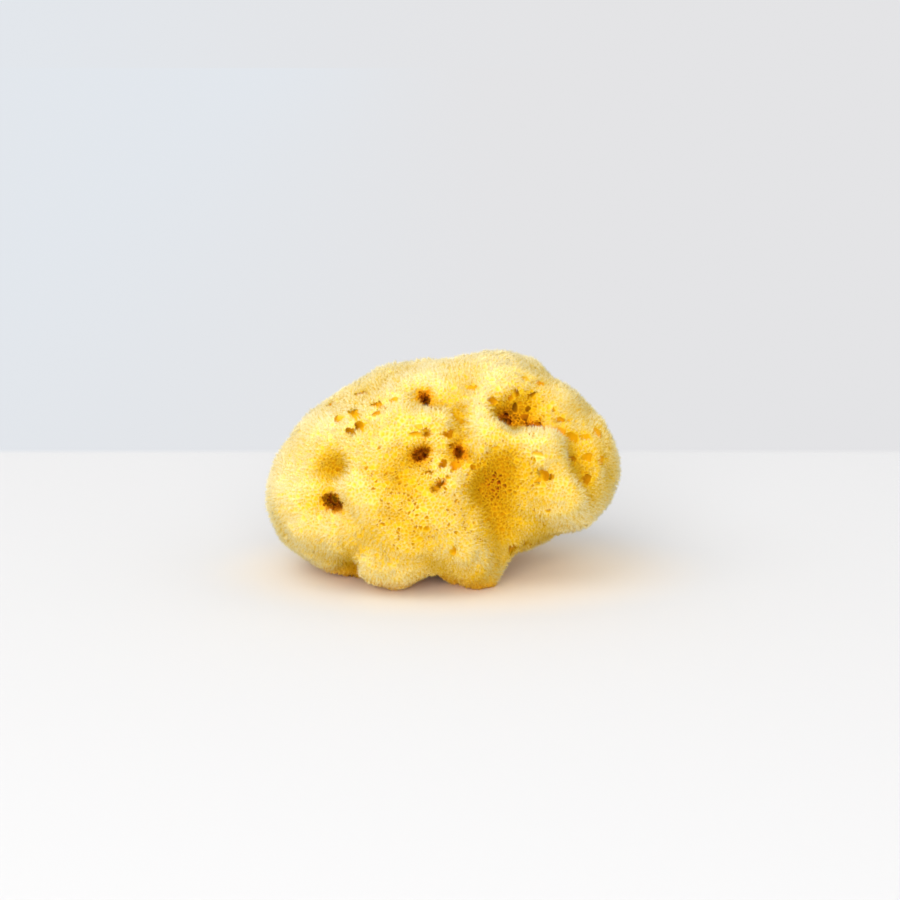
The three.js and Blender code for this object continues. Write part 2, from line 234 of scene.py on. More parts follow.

# %% [markdown]
# ## Where the pores are
# On a real sponge the pores are packed like bubbles: never closer than a certain distance,
# never in rows. Points picked in random order, each one claiming the net around it, give
# just that spacing. Every point of the net then belongs to its nearest pore, and where
# three pores meet stands a point of fibre.
#
# The larger holes come first in that order, so that each becomes one wide pore. Those of the
# front are listed as they are seen from the camera, in millimetres to the right of the heart
# and above it, with the two half widths of the mouth. The deep ones, in the hollow at the
# upper right, are given a darker colour, painted shade. Elsewhere holes are found where the net
# lies deeper than its surroundings.

# %% Holes
FRONT_HOLES = [
    (-31.4, 30.2, 3.4, 1), (-22, 38.4, 1.6, 0.9), (-18, 34.8, 1.3, 1.2), (-24.4, 25, 3, 1.5),
    (-25.2, 22, 2.5, 1), (-19.2, 27.6, 1.2, 1.2), (-34, 21.2, 2.7, 1.8), (-40.6, 20, 1.6, 1.8),
    (-32.6, 17.4, 2, 2.2), (-36, 15.2, 2.3, 1.4), (-44.6, 26, 2.6, 1), (-9.2, 17.6, 1.4, 0.9),
    (-10.8, 14, 2.2, 1), (-6, 14.6, 2.2, 1.5), (1.6, 14, 2.2, 1.6), (3.2, 8.8, 1.6, 1),
    (0, 2, 1.9, 1.9), (4.8, 1.2, 1.9, 1.9), (-4.8, -0.8, 2.2, 1.2), (12, 0.8, 1.4, 1),
    (12, 32.4, 1.8, 0.9), (20, 27, 1.3, 1.2), (21.2, 9.2, 1.3, 1.1), (35.8, 40, 2, 0.9),
    (33.2, 36.4, 1.4, 1), (39, 34.2, 1.8, 0.9), (29.4, 31.2, 1.4, 1.8), (35.4, 29.4, 2.2, 1.3),
    (46.2, 19.8, 2, 1.2), (50.2, 19.8, 1.3, 1), (46.6, 15.4, 2.2, 1.6), (51.6, 12.6, 2.9, 1.8),
    (56.6, 13, 1.9, 1.3), (61.6, 14.4, 1.6, 2), (58.4, 5.4, 2, 1.4), (63.4, 3.8, 2, 2),
    (51.6, 4.4, 1.8, 1.1), (38, 6.6, 1.9, 1.1), (40.2, -1, 1.6, 2.4), (43.6, -3, 1.5, 1.3),
    (56.8, -3.4, 1.4, 1.8), (32.8, -29, 2.2, 1.7), (36.8, -28.6, 1.7, 1.1), (27, -31.6, 1.4, 2.8),
    (4.4, -31.6, 1.1, 1.9), (-0.8, -5.4, 3.6, 1.5),
]
# Holes in the hollow at the upper right, given a darker colour as painted shade.
DEEP_HOLES = [
    (25, 19.4, 1.5, 1.9), (29.2, 25, 1.2, 1.5), (38.2, 17.6, 1.9, 1.1), (41.4, 15.4, 1.7, 1),
    (32.5, 21, 1.3, 0.9), (34.4, 24.6, 1.1, 1), (27.5, 28.6, 1.1, 1.3), (46, 13, 1.4, 0.9),
]
PORE_HALF = 0.62 * MM
PORE_SIZES = (0.6, 1.4)
HOLE_WIDENING = 1.2
PIT_SPREAD = 60
PIT_SUNK = 0.5 * MM
PIT_HALF = 1.25 * MM
BEFORE_ALL_OTHERS = 100

around = BVHTree.FromPolygons(net_points.tolist(), net_quads.tolist())


def met_from_camera(right, up):
    """Where the camera sees that place, in millimetres from the heart, on the net."""
    aim = HEART + view_right * right * MM + view_up * up * MM
    return around.ray_cast(camera.location, aim - camera.location)[0]


sunk = ((spread(net_points, net_edges, PIT_SPREAD) - net_points) * broad_normals).sum(axis=1)
half_wide = PORE_HALF * rng.uniform(*PORE_SIZES, len(net_points))
half_high = half_wide.copy()
is_hole = sunk > PIT_SUNK
listed = np.zeros(len(net_points), bool)
is_deep = listed.copy()
half_wide[is_hole] = half_high[is_hole] = PIT_HALF
rank = rng.uniform(0, 1, len(net_points)) - is_hole * (1 + sunk / MM)
for number, (right, up, half_right, half_up) in enumerate(FRONT_HOLES + DEEP_HOLES):
    met = met_from_camera(right, up)
    here = ((net_points - np.array(met)) ** 2).sum(axis=1).argmin()
    half_wide[here] = half_right * HOLE_WIDENING * MM
    half_high[here] = half_up * HOLE_WIDENING * MM
    is_hole[here] = listed[here] = True
    is_deep[here] = number >= len(FRONT_HOLES)
    rank[here] = -BEFORE_ALL_OTHERS - half_right
print("holes listed", listed.sum(), "deep", is_deep.sum(), "points in pits", (sunk > PIT_SUNK).sum())

# %% [markdown]
# Two walks over the net share it out. The first takes the points in their order and keeps a
# new pore's rim clear of the others. The second grows all pores at once, nearest point
# first, until they meet.

# %% Two walks


def neighbour_lists(count, edges):
    """For each point of the net, the points that share an edge with it."""
    both = np.vstack([edges, edges[:, ::-1]])
    both = both[np.argsort(both[:, 0], kind="stable")]
    ends = np.searchsorted(both[:, 0], np.arange(count + 1)).tolist()
    near = both[:, 1].tolist()
    return [near[ends[i]:ends[i + 1]] for i in range(count)]


def beyond_rim(home, point):
    """How far a point lies beyond the rim of a pore that is wider than high, or the reverse."""
    x, y, z, flat, stretch, size = home
    right, ahead, up = point[0] - x, point[1] - y, point[2] - z
    away = math.sqrt((right * right + ahead * ahead + up * up) * flat + right * right * stretch)
    return (away - 1) * size


def pore_home(point, wide, high):
    """A pore's middle, its shape and its size, in the form that beyond_rim reads."""
    return (*point, 1 / high ** 2, 1 / wide ** 2 - 1 / high ** 2, math.sqrt(wide * high))


def scatter_pores(points, near, order):
    """Points in that order, each unless it lies too near an earlier one."""
    taken = bytearray(len(points))
    found, homes = [], []
    for start in order.tolist():
        if taken[start]:
            continue
        found.append(start)
        home = pore_home(points[start], half_wide[start], half_high[start])
        homes.append(home)
        taken[start] = 1
        edge, seen = [start], {start}
        while edge:
            for other in near[edge.pop()]:
                if other in seen:
                    continue
                seen.add(other)
                if beyond_rim(home, points[other]) < PORE_HALF:
                    taken[other] = 1
                    edge.append(other)
    return np.array(found), homes


def nearest_pore(points, near, pores, homes):
    """For each point of the net, the number of its pore."""
    owner = [-1] * len(points)
    waiting = [(-homes[k][-1], p, k) for k, p in enumerate(pores.tolist())]
    heapq.heapify(waiting)
    while waiting:
        _, point, pore = heapq.heappop(waiting)
        if owner[point] >= 0:
            continue
        owner[point] = pore
        home = homes[pore]
        for other in near[point]:
            if owner[other] < 0:
                heapq.heappush(waiting, (beyond_rim(home, points[other]), other, pore))
    return np.array(owner)


near = neighbour_lists(len(net_points), net_edges)
print("each point has", round(2 * len(net_edges) / len(net_points), 2), "neighbours")

# %% [markdown]
# Distances are measured on a slightly warped copy of the net, which makes the pores
# irregular. A pore that ends up with fewer than three points of fibre can't be a funnel, so
# it is given to the neighbour that it touches most.

# %% Pores
PORE_WARP = 0.3 * MM
PORE_WARP_SMOOTHING = 8

point_list = (net_points + smooth_noise(3, PORE_WARP_SMOOTHING) * PORE_WARP).tolist()
pores, homes = scatter_pores(point_list, near, np.argsort(rank))
owner = nearest_pore(point_list, near, pores, homes)
hole = is_hole[pores]
pore_size = np.sqrt(half_wide[pores] * half_high[pores])
print("wide pores", hole.sum())

cut = np.vstack([net_quads[:, [0, 1, 2]], net_quads[:, [0, 2, 3]]])
while True:
    three = owner[cut]
    meeting = (three != three[:, [1, 2, 0]]).all(axis=1)
    cells = three[meeting]
    corners = np.bincount(cells.ravel(), minlength=len(pores))
    swallowed = np.flatnonzero((corners > 0) & (corners < 3))
    if not len(swallowed):
        break
    for pore in swallowed:
        inside = owner == pore
        rim = net_edges[inside[net_edges].sum(axis=1) == 1]
        owner[inside] = np.bincount(owner[rim][~inside[rim]]).argmax()
print("pores", (corners > 0).sum(), "points of fibre", len(cells))

# %% [markdown]
# ## How open each place is
# Deep inside the outlets the sponge is painted brown, and where it stands free it is pale:
# painted shade for the light that reaches in less. How open a place is comes from looking
# outwards from it: a ray that meets the sponge again within a short way counts against it, and
# more so the nearer it is. So the mouth of an outlet is half open and its floor is closed. The
# table counts too, but less, because it is bright.

# %% Openness
LOOK_RAYS = 26
LOOK_REACH = 13 * MM
LOOK_START = 0.8 * MM
TABLE_WEIGHT = 0.4
LEAST_LOSS = 0.5
NEARLY_UPRIGHT = 0.9
SKIN_SMOOTHING = 6


def look_directions(count):
    """Directions over a half sphere, more of them towards its pole."""
    k = np.arange(count) + 0.5
    height = np.sqrt(1 - k / count)
    turn = k * math.pi * (3 - math.sqrt(5))
    across = np.sqrt(1 - height ** 2)
    return np.stack([across * np.cos(turn), across * np.sin(turn), height], axis=1)


def side_of(directions):
    """A unit vector across each direction."""
    up = np.where(np.abs(directions[:, 2:]) < NEARLY_UPRIGHT, [[0, 0, 1.0]], [[1.0, 0, 0]])
    return unit(np.cross(directions, up))


def openness(points, normals):
    """1 where nothing is near outwards, and less the more of the sponge stands around."""
    side = side_of(normals)
    other = np.cross(normals, side)
    looks = look_directions(LOOK_RAYS)
    found = np.ones(len(points))
    for i in range(len(points)):
        start = Vector(points[i] + normals[i] * LOOK_START)
        frame_here = np.stack([side[i], other[i], normals[i]])
        height = max(start.z, 0)
        for look in (looks @ frame_here).tolist():
            distance = around.ray_cast(start, look, LOOK_REACH)[3]
            weight = 1
            if distance is None and height + look[2] * LOOK_REACH < 0:
                distance = -height / look[2]
                weight = TABLE_WEIGHT
            if distance is not None:
                found[i] -= weight * (1 - LEAST_LOSS * distance / LOOK_REACH) / LOOK_RAYS
    return found


skin_normals = unit(spread(net_normals, net_edges, SKIN_SMOOTHING))
# Painted shade: the less open a place, the browner its colour.
pore_open = openness(net_points[pores], skin_normals[pores])
print("openness", np.percentile(pore_open, [0, 5, 25, 50, 75, 100]).round(2))

# %% [markdown]
# ## Painted shade in hollows, painted light on lobes
# Hollows are painted more golden than lobes, and lobes paler: painted shade in the hollows and
# painted light on the lobes. How far a pore lies below the mean of its wider surroundings gives
# that. The side that faces up and to the left, towards the window, is painted paler, as painted
# light, except where it is bare, and the painted shade of the shaded places comes on top. Near
# the outlets the gold turns to brown before their mouths begin, painted shade round them. The
# small holes stay open in colour, because light reaches their floors.

# %% Shade
HOLLOW_SPREAD = 90
HOLLOW_FULL = 2.2 * MM
# Painted light: the side that faces this way, towards the window, is painted paler in colour.
PAINTED_LIGHT_FROM = Vector((-0.5, -0.25, 0.83))
PAINTED_LIGHT_SHARE = 0.6
OUTLET_SPREAD = 14
OUTLET_HALO = 0.18
HOLE_OPEN = 0.8
PALEST_LOBE = -0.4
PIT_OPEN_FROM = 0.3
OUTLET_OPEN_TO = 0.5
HALO_GAIN = 4

pore_at = net_points[pores]
pore_links = np.stack([owner[cut[:, 0]], owner[cut[:, 1]]], axis=1)
pore_links = np.unique(pore_links[pore_links[:, 0] != pore_links[:, 1]], axis=0)
pore_links = pore_links[(corners[pore_links] > 0).all(axis=1)]
# Painted shade: pores below their surroundings get a more golden colour, lobes a paler one.
wide_mean = spread(pore_at, pore_links, HOLLOW_SPREAD)
below = ((wide_mean - pore_at) * broad_normals[pores]).sum(axis=1)
below -= np.median(below)
pore_shade = np.clip(below / HOLLOW_FULL, PALEST_LOBE, 1)
pore_bare = place_strength(pore_at, broad_normals[pores], BARE_PLACES)
# Painted light on the side that faces the window, left out where the sponge is bare.
facing_light = np.clip(broad_normals[pores] @ np.array(PAINTED_LIGHT_FROM), 0, 1)
pore_shade -= PAINTED_LIGHT_SHARE * facing_light * (1 - pore_bare)
# Painted shade of the shaded places, added on top.
pore_shade += place_strength(pore_at, broad_normals[pores], PAINTED_SHADE_PLACES)
shallow = hole & (listed[pores] | (pore_open > PIT_OPEN_FROM))
deep = (pore_open < OUTLET_OPEN_TO) & ~shallow
# Painted shade: pores near the outlets are closed a little in colour, so browner.
near_outlet = spread(deep[:, None].astype(float), pore_links, OUTLET_SPREAD)[:, 0]
pore_halo = np.clip(near_outlet * HALO_GAIN, 0, 1)
pore_open = np.where(shallow, np.maximum(pore_open, HOLE_OPEN), pore_open)
pore_open *= 1 - OUTLET_HALO * pore_halo
print("deep pores", deep.sum(), "shade", np.percentile(below / MM, [0, 5, 50, 95, 100]).round(1))

# %% [markdown]
# ## The skin
# Each pore is a small funnel. Its floor lies below the net, a ring part of the way up gives
# it a round mouth, and its rim runs over the points of fibre and the low saddles between
# them. Neighbouring pores share rim and saddles, so the skin is one closed surface. The
# points and the saddles come first.

# %% Points and saddles
SADDLE_HEIGHT = -0.3 * MM
SADDLE_SIZES = (-0.3, 1.5)


def mean_by(groups, values, count):
    """The mean of the values that have the same group number."""
    total = np.maximum(np.bincount(groups, minlength=count), 1)[:, None]
    return np.stack([np.bincount(groups, v, count) for v in values.T], axis=1) / total


def varied(low, high, count):
    """A column of random numbers."""
    return rng.uniform(low, high, count)[:, None]


point_cut = cut[meeting]
point_at = net_points[point_cut].mean(axis=1)
point_normals = unit(skin_normals[point_cut].mean(axis=1))
point_open = pore_open[cells].mean(axis=1)
point_bare = pore_bare[cells].mean(axis=1)
count_pores, count_points = len(pores), len(cells)

# Each side of a triangle of three pores has its twin in the next triangle
pore_a, pore_b = cells.ravel(), cells[:, [1, 2, 0]].ravel()
own_key = pore_a * count_pores + pore_b
twin_key = pore_b * count_pores + pore_a
by_key = np.argsort(own_key)
twin = by_key[np.searchsorted(own_key, twin_key, sorter=by_key)]
assert (own_key[twin] == twin_key).all() and (twin[twin] == np.arange(len(twin))).all()
side_ids = np.arange(len(twin))
saddle_sides = side_ids[side_ids < twin]
saddle_of = np.empty(len(twin), np.int64)
saddle_of[saddle_sides] = np.arange(len(saddle_sides))
saddle_of[twin[saddle_sides]] = saddle_of[saddle_sides]

links = np.vstack([net_edges, net_quads[:, [0, 2]]])
border = links[owner[links[:, 0]] != owner[links[:, 1]]]
border_low = owner[border].min(axis=1)
border_high = owner[border].max(axis=1)
pair_key = border_low * count_pores + border_high
pair_names, pair_of = np.unique(pair_key, return_inverse=True)
pair_middle = mean_by(pair_of, net_points[border].mean(axis=1), len(pair_names))
pair_normal = unit(mean_by(pair_of, skin_normals[border].mean(axis=1), len(pair_names)))
saddle_a, saddle_b = pore_a[saddle_sides], pore_b[saddle_sides]
wanted = np.minimum(saddle_a, saddle_b) * count_pores + np.maximum(saddle_a, saddle_b)
saddle_pair = np.searchsorted(pair_names, wanted)
assert (pair_names[saddle_pair] == wanted).all()
saddle_normals = pair_normal[saddle_pair]
saddle_height = SADDLE_HEIGHT * varied(*SADDLE_SIZES, len(wanted))
saddle_points = pair_middle[saddle_pair] + saddle_normals * saddle_height
print("points of fibre", count_points, "saddles", len(saddle_points))

# %% [markdown]
# Then the floors and the rings. Bare places have wider and deeper pores, and about half of
# those are so deep that their floors are painted dark, as painted shade. The floor of a hole
# lies a little down and to the left of its mouth, so that one wall is a bright slope and the
# other one is dark.

# %% Skin
PORE_DEPTH = 1.05 * MM
PORE_DEPTHS = (0.35, 1.3)
PLAIN_DEPTH, BARE_DEPTH = 0.75, 0.5
DARK_SHARE = 0.5
DARK_DEPTH = 1.6
PORE_MOUTH = 0.46
PORE_MOUTHS = (0.7, 1.2)
BARE_WIDENING = 0.3
HOLE_DEPTH = 1.05
DEEP_HOLE_DEPTH = 1.5
LEAST_HOLE_DEPTH = 0.3 * MM
HOLE_MOUTH = 0.85
HOLE_RING_DEPTH = 0.7
HOLE_SLANT = 0.45
SLANT_LEFT, SLANT_DOWN = 0.6, 0.8
RING_HEIGHT = -0.3 * MM
RING_HEIGHTS = (0.4, 1.6)
POINT_HEIGHT = 0.45 * MM
POINT_HEIGHTS = (0.6, 1.4)
BARE_LOWERING = 0.3

pore_normals = skin_normals[pores]
pore_middle = 0.5 * net_points[pores] + 0.5 * mean_by(owner, net_points, count_pores)
pore_dark = rng.uniform(0, 1, count_pores) < DARK_SHARE * pore_bare
pore_depth = PORE_DEPTH * varied(*PORE_DEPTHS, count_pores)
pore_depth *= PLAIN_DEPTH + BARE_DEPTH * pore_bare[:, None]
pore_depth[pore_dark] = PORE_DEPTH * DARK_DEPTH
hole_depth = np.where(is_deep[pores], DEEP_HOLE_DEPTH, HOLE_DEPTH) * pore_size + LEAST_HOLE_DEPTH
pore_depth[hole] = hole_depth[hole][:, None]
floor_points = pore_middle - pore_normals * pore_depth
slant = np.array(-view_right * SLANT_LEFT - view_up * SLANT_DOWN)
floor_points[hole] += HOLE_SLANT * pore_size[hole][:, None] * slant
mouth = PORE_MOUTH * varied(*PORE_MOUTHS, count_pores) * (1 + BARE_WIDENING * pore_bare[:, None])
mouth[hole] = HOLE_MOUTH
tip_lift = POINT_HEIGHT * varied(*POINT_HEIGHTS, count_points)
tip_lift *= 1 - BARE_LOWERING * point_bare[:, None]
tip_points = point_at + point_normals * tip_lift
corner_point = np.repeat(np.arange(count_points), 3)
ring_flat = pore_middle[pore_a] + (point_at[corner_point] - pore_middle[pore_a]) * mouth[pore_a]
ring_height = RING_HEIGHT * varied(*RING_HEIGHTS, len(pore_a))
ring_height[hole[pore_a]] = -HOLE_RING_DEPTH * pore_depth[pore_a][hole[pore_a]]
ring_points = ring_flat + pore_normals[pore_a] * ring_height

first_tip = count_pores
first_saddle = first_tip + count_points
first_ring = first_saddle + len(saddle_points)
skin_points = np.vstack([floor_points, tip_points, saddle_points, ring_points])
skin_points[:, 2] = np.maximum(skin_points[:, 2], 0)
twin_point, twin_corner = twin // 3, twin % 3
ring_left = first_ring + side_ids
ring_right = first_ring + 3 * twin_point + (twin_corner + 1) % 3
tip_left, tip_right = first_tip + side_ids // 3, first_tip + twin_point
saddle = first_saddle + saddle_of
skin_faces = np.stack([
    np.stack([pore_a, ring_right, ring_left], axis=1),
    np.stack([ring_right, tip_right, saddle], axis=1),
    np.stack([ring_right, saddle, ring_left], axis=1),
    np.stack([ring_left, saddle, tip_left], axis=1),
], axis=1).reshape(-1, 3)
print("skin", len(skin_points), "points", len(skin_faces), "triangles")

# %% [markdown]
# The skin carries two numbers at each of its points for its colour. Rise goes from 0 on the
# darkest floor to 1 at the end of a fibre, which paints shade low in the pores; it is less
# where shade is painted and more where light is painted. Open is the openness measured above,
# which paints the shade of enclosed places, and the dark pores and the holes are closed a
# little on top of that.

# %% Skin numbers
FLOOR_RISE, RING_RISE, SADDLE_RISE, TIP_RISE = 0.27, 0.39, 0.5, 0.66
SHADE_ON_SKIN = 0.28
BARE_ON_SKIN = 0.08
SKIN_UNEVENNESS = 0.06
DARK_RING_RISE = 0.1
DARK_POWER = 3
DARK_OPEN, HOLE_FLOOR_OPEN, HOLE_RING_OPEN, DEEP_HOLE_OPEN = 0.05, 0.85, 1, 0.6

point_shade = pore_shade[cells].mean(axis=1)
saddle_shade = (pore_shade[saddle_a] + pore_shade[saddle_b]) / 2
saddle_bare = (pore_bare[saddle_a] + pore_bare[saddle_b]) / 2
# Painted shade in the pores: floors and rings get a lower rise than saddles and points.
skin_rise = np.concatenate([
    np.full(count_pores, FLOOR_RISE),
    np.full(count_points, TIP_RISE),
    np.full(len(saddle_points), SADDLE_RISE),
    np.full(len(ring_points), RING_RISE),
])
skin_shade = np.concatenate([pore_shade, point_shade, saddle_shade, pore_shade[pore_a]])
skin_bare = np.concatenate([pore_bare, point_bare, saddle_bare, pore_bare[pore_a]])
# Painted shade on hollows and shaded places, painted light on lobes and on the side facing the window.
skin_rise -= SHADE_ON_SKIN * skin_shade + BARE_ON_SKIN * skin_bare
skin_rise += rng.uniform(-SKIN_UNEVENNESS, SKIN_UNEVENNESS, len(skin_rise))
# Painted shade: the dark pores get dark floors and rings, and the deep holes a closed colour.
skin_rise[:count_pores][pore_dark] = 0
skin_rise[first_ring:][pore_dark[pore_a]] = DARK_RING_RISE
dark_open = 1 - (1 - DARK_OPEN) * pore_dark * pore_bare ** DARK_POWER
dark_open[is_deep[pores]] = DEEP_HOLE_OPEN
floor_open = pore_open * dark_open * np.where(hole, HOLE_FLOOR_OPEN, 1)
ring_open = pore_open * np.sqrt(dark_open) * np.where(hole, HOLE_RING_OPEN, 1)
skin_open = np.concatenate([
    floor_open,
    point_open,
    (pore_open[saddle_a] + pore_open[saddle_b]) / 2,
    ring_open[pore_a],
])
print("rise", skin_rise.min().round(2), "to", skin_rise.max().round(2))

# %% [markdown]
# A mesh this large is made from arrays in one go. It hides the plain solid and rides on the
# same body. Two halves keep each piece light enough to hand on.

# %% Skin pieces


def new_piece(name, points, faces, rise, opening):
    """A smooth piece of the sponge from triangles, with its two numbers."""
    used, numbered = np.unique(faces, return_inverse=True)
    points, faces = points[used], numbered.reshape(-1, 3)
    mesh = bpy.data.meshes.new(name)
    mesh.vertices.add(len(points))
    mesh.vertices.foreach_set("co", points.astype(np.float32).ravel())
    mesh.loops.add(faces.size)
    mesh.loops.foreach_set("vertex_index", faces.astype(np.int32).ravel())
    mesh.polygons.add(len(faces))
    mesh.polygons.foreach_set("loop_start", np.arange(0, faces.size, 3, dtype=np.int32))
    mesh.update(calc_edges=True)
    mesh.shade_smooth()
    for key, values in (("rise", rise[used]), ("open", opening[used])):
        layer = mesh.attributes.new(key, "FLOAT", "POINT")
        layer.data.foreach_set("value", np.clip(values, 0, 1).astype(np.float32))
    piece = bpy.data.objects.new(name, mesh)
    scene.collection.objects.link(piece)
    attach(piece, "root")
    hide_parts("sponge")
    return piece


on_right = skin_points[skin_faces][:, :, 0].mean(axis=1) > 0
skin_left = new_piece("skin_left", skin_points, skin_faces[~on_right], skin_rise, skin_open)
skin_right = new_piece("skin_right", skin_points, skin_faces[on_right], skin_rise, skin_open)
pieces = [skin_left, skin_right]
print("skin pieces", [len(piece.data.polygons) for piece in pieces])

# %% [markdown]
# ## The tufts
# On each point of fibre stands a small cone, with a few loose fibres leaning out of it, and
# single fibres stand on the saddles. Hair curves would be lost when the model is handed on,
# so every fibre is a spike with three sides, and all of them together are plain mesh. They
# follow the skin's own direction, leaning a little with the broad shape and with a slow
# random field, as if stroked. First the helpers.

# %% Spikes
BROAD_SHARE = 0.3
STROKE = 0.45
STROKE_SMOOTHING = 24
SINK = 0.12 * MM
THIRDS = np.arange(3) * 2 * math.pi / 3
FOOT_RISE, END_RISE = 0.52, 0.95
SHADE_ON_FOOT, SHADE_ON_END = 0.22, 0.34
TUFT_UNEVENNESS = 0.07
CLOSED_FROM, CLOSED_FULL = 0.92, 0.55
BARE_TONE = 0.4
SHORT_SLOPE, SHORT_FROM, SHORTEST = 1.7, 0.6, 0.15

pore_pairs = np.stack([saddle_a, saddle_b], axis=1)
stroke = rng.normal(size=(count_pores, 3))
still_there = (corners[pore_pairs] > 0).all(axis=1)
stroke = unit(spread(stroke, pore_pairs[still_there], STROKE_SMOOTHING))


def spikes(base, direction, length, half_width):
    """Three-sided spikes as points and triangles."""
    count = len(base)
    side = side_of(direction)
    other = np.cross(direction, side)
    turn = rng.uniform(0, 2 * math.pi, count)[:, None] + THIRDS
    ring = side[:, None] * np.cos(turn)[:, :, None] + other[:, None] * np.sin(turn)[:, :, None]
    foot = (base - direction * SINK)[:, None] + ring * half_width[:, None, None]
    top = base + direction * length[:, None]
    points = np.concatenate([foot, top[:, None]], axis=1).reshape(-1, 3)
    low = 4 * np.arange(count)[:, None]
    faces = np.stack([low + [0, 1, 3], low + [1, 2, 3], low + [2, 0, 3]], axis=1).reshape(-1, 3)
    return points, faces


def spike_numbers(tone, opening):
    """The two numbers for the colour, at the four points of each spike."""
    # Painted shade: the foot of each spike is given a lower rise than its end.
    foot = FOOT_RISE - SHADE_ON_FOOT * tone
    end = END_RISE - SHADE_ON_END * tone
    rise = np.stack([foot, foot, foot, end], axis=1)
    rise += rng.uniform(-TUFT_UNEVENNESS, TUFT_UNEVENNESS, len(tone))[:, None]
    return rise.ravel(), np.repeat(opening, 4)


def tone_of(shade, bare, opening):
    """How golden the fibres are: more so where they are bare, with painted shade in hollows and where
    the sponge stands around.
    """
    closed_in = np.clip((CLOSED_FROM - opening) / (CLOSED_FROM - CLOSED_FULL), 0, 1)
    return shade + BARE_TONE * bare + closed_in


def shortness(bare, opening, bare_loss):
    """What is left of the fibres' length in bare places and in the outlets."""
    return (1 - bare_loss * bare) * np.clip(opening * SHORT_SLOPE - SHORT_FROM, SHORTEST, 1)


def leaning(normals, broad, pore, lean):
    """The fibres' directions."""
    found = (1 - BROAD_SHARE) * normals + BROAD_SHARE * broad + STROKE * stroke[pore]
    return unit(found + lean * rng.normal(size=normals.shape))


print("stroked towards", stroke.mean(axis=0).round(2), "on the whole")

# %% [markdown]
# Each kind of spike is a set of columns: where it stands, which way it points, how long and
# how wide it is, and its two numbers. In bare places and inside the outlets they are
# shorter. Round a hole they lean away from it, so that its rim reads as an edge. What lies
# under the table's surface is laid flat on it. The shortest spikes, which hardly show, are
# left out, to keep the number of triangles down.

# %% Tufts
CONE_LENGTH = 1.15 * MM
CONE_LENGTHS = (0.7, 1.2)
CONE_HALF_WIDTH = 0.22 * MM
CONE_WIDTHS = (0.75, 1.25)
CONE_LEAN = 0.25
FIBRE_LENGTH = 1.6 * MM
FIBRE_LENGTHS = (0.6, 1.25)
FIBRE_HALF_WIDTH = 0.1 * MM
FIBRE_WIDTHS = (0.7, 1.3)
FIBRES_ON_A_POINT = 4
FIBRE_SCATTER = 0.16 * MM
FIBRE_LEAN = 0.4
SADDLE_FIBRE_LENGTHS = (0.45, 1.0)
SADDLE_FIBRE_WIDTHS = (0.8, 1.4)
POINT_BARE_LOSS, SADDLE_BARE_LOSS = 0.6, 0.75
RIM_SHORT = 0.5
HOLE_LEAN = (-0.2, 0.8)
MOST_SPIKES = 196000
ON_TABLE = 0.25 * MM

broad_point = unit(broad_normals[point_cut].mean(axis=1))
point_pore = cells[:, 0]
point_short = shortness(point_bare, point_open, POINT_BARE_LOSS)
point_tone = tone_of(point_shade, point_bare, point_open)
on_rim = shallow[cells].any(axis=1)
point_short[on_rim] *= RIM_SHORT
hole_beside = cells[np.arange(count_points), shallow[cells].argmax(axis=1)]
from_hole = unit(point_at - pore_middle[hole_beside]) * on_rim[:, None]
from_hole *= varied(*HOLE_LEAN, count_points)
tuft_parts = []

direction = leaning(point_normals + from_hole, broad_point, point_pore, CONE_LEAN)
length = CONE_LENGTH * rng.uniform(*CONE_LENGTHS, count_points) * point_short
width = CONE_HALF_WIDTH * rng.uniform(*CONE_WIDTHS, count_points)
tuft_parts.append((tip_points, direction, length, width, point_tone, point_open))

for _ in range(FIBRES_ON_A_POINT):
    shift = rng.normal(size=(count_points, 3)) * FIBRE_SCATTER
    direction = leaning(point_normals + from_hole, broad_point, point_pore, FIBRE_LEAN)
    length = FIBRE_LENGTH * rng.uniform(*FIBRE_LENGTHS, count_points) * point_short
    width = FIBRE_HALF_WIDTH * rng.uniform(*FIBRE_WIDTHS, count_points)
    tuft_parts.append((tip_points + shift, direction, length, width, point_tone, point_open))

saddle_open = skin_open[first_saddle:first_ring]
saddle_tone = tone_of(saddle_shade, saddle_bare, saddle_open)
saddle_short = shortness(saddle_bare, saddle_open, SADDLE_BARE_LOSS)
saddle_short[shallow[saddle_a] | shallow[saddle_b]] *= RIM_SHORT
count = len(saddle_points)
direction = leaning(saddle_normals, saddle_normals, saddle_a, FIBRE_LEAN)
length = FIBRE_LENGTH * rng.uniform(*SADDLE_FIBRE_LENGTHS, count) * saddle_short
width = FIBRE_HALF_WIDTH * rng.uniform(*SADDLE_FIBRE_WIDTHS, count)
tuft_parts.append((saddle_points, direction, length, width, saddle_tone, saddle_open))

tuft_columns = [np.concatenate(part) for part in zip(*tuft_parts)]
longest_first = np.argsort(-tuft_columns[2], kind="stable")
kept = np.sort(longest_first[:MOST_SPIKES])
base, direction, length, width, tone, opening = (column[kept] for column in tuft_columns)
tuft_points, tuft_faces = spikes(base, direction, length, width)
tuft_rise, tuft_open = spike_numbers(tone, opening)
low = tuft_points[:, 2] < 0
tuft_points[low, 2] = rng.uniform(0, ON_TABLE, low.sum())
spike_piece = np.digitize(base[:, 0], np.quantile(base[:, 0], [1 / 3, 2 / 3]))
for part, name in enumerate(("tufts_left", "tufts_middle", "tufts_right")):
    chosen = tuft_faces[np.repeat(spike_piece == part, 3)]
    pieces.append(new_piece(name, tuft_points, chosen, tuft_rise, tuft_open))
print("tufts", len(base), "triangles", [len(piece.data.polygons) for piece in pieces])

